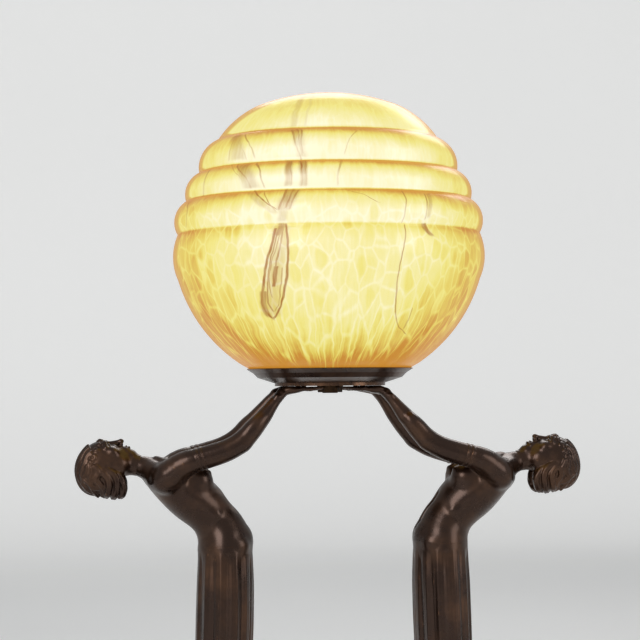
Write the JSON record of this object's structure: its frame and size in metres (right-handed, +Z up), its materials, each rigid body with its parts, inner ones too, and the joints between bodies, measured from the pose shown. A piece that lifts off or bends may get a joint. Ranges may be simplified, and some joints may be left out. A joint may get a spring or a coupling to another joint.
{
  "type": "figural table lamp",
  "caption": "Table lamp with facing bronze dancers on a stepped base whose raised hands carry a dish and a stepped amber glass globe.",
  "frame": {"origin": "centre of the base's underside, on the table", "axes": "+Z up, dancers at +X and -X facing each other, front of the lamp along -Y, cable inlet along +Y"},
  "size_m": [0.3314, 0.203, 0.4794],
  "materials": {
    "bronze": "dark brown patina, satin",
    "steel": "plated",
    "brass": "bright brass",
    "aluminium": "pressed",
    "felt": "felt",
    "rubber": "matt",
    "bakelite": "moulded",
    "porcelain": "glazed",
    "lead": "insulated wire",
    "black_glass": "fused glass",
    "clear_glass": "clear",
    "amber_glass": "mottled translucent"
  },
  "bodies": {
    "lamp": {"base_casting": "bronze", "base_cover": "steel", "base_felt": "felt", "cover_screws": "steel", "figure_screws": "steel", "figure_washers": "steel", "cable_grommet": "rubber", "terminal_block": "bakelite", "terminal_screws": "brass", "block_screw": "steel", "earth_screw": "brass", "left_skirt": "bronze", "left_torso": "bronze", "left_head": "bronze", "left_front_arm": "bronze", "left_back_arm": "bronze", "right_skirt": "bronze", "right_torso": "bronze", "right_head": "bronze", "right_front_arm": "bronze", "right_back_arm": "bronze", "internal_lead": "lead", "hand_plate": "bronze", "hand_screws": "steel", "shade_dish": "bronze", "shade_gasket": "rubber", "lead_bush": "rubber", "lampholder_nipple": "brass", "plate_washer": "brass", "plate_nut": "brass", "holder_nut": "brass", "lampholder_cap": "brass", "lampholder_shell": "brass", "lampholder_insert": "porcelain", "side_contact": "brass", "centre_contact": "brass"},
    "globe": {"globe": "amber_glass"},
    "bulb_carrier": {"bulb_tip": "steel"},
    "bulb": {"bulb_insulator": "black_glass", "bulb_cap": "aluminium", "bulb_glass": "clear_glass", "bulb_stem": "clear_glass", "bulb_filament": "steel"}
  },
  "joints": [
    {"name": "globe_lift", "type": "slide", "parent": "lamp", "child": "globe", "axis": [0, 0, 1], "range_m": [0, 0.15]},
    {"name": "bulb_rise", "type": "slide", "parent": "lamp", "child": "bulb_carrier", "axis": [0, 0, 1], "range_m": [0, 0.0182]},
    {"name": "bulb_unscrew", "type": "hinge", "parent": "bulb_carrier", "child": "bulb", "pos_m": [0, 0, 0.34], "axis": [0, 0, 1], "range_deg": [0, 1800]}
  ],
  "couplings": [
    {"joint": "bulb_rise", "follows": "bulb_unscrew", "m_per_rad": 0.00057757}
  ]
}
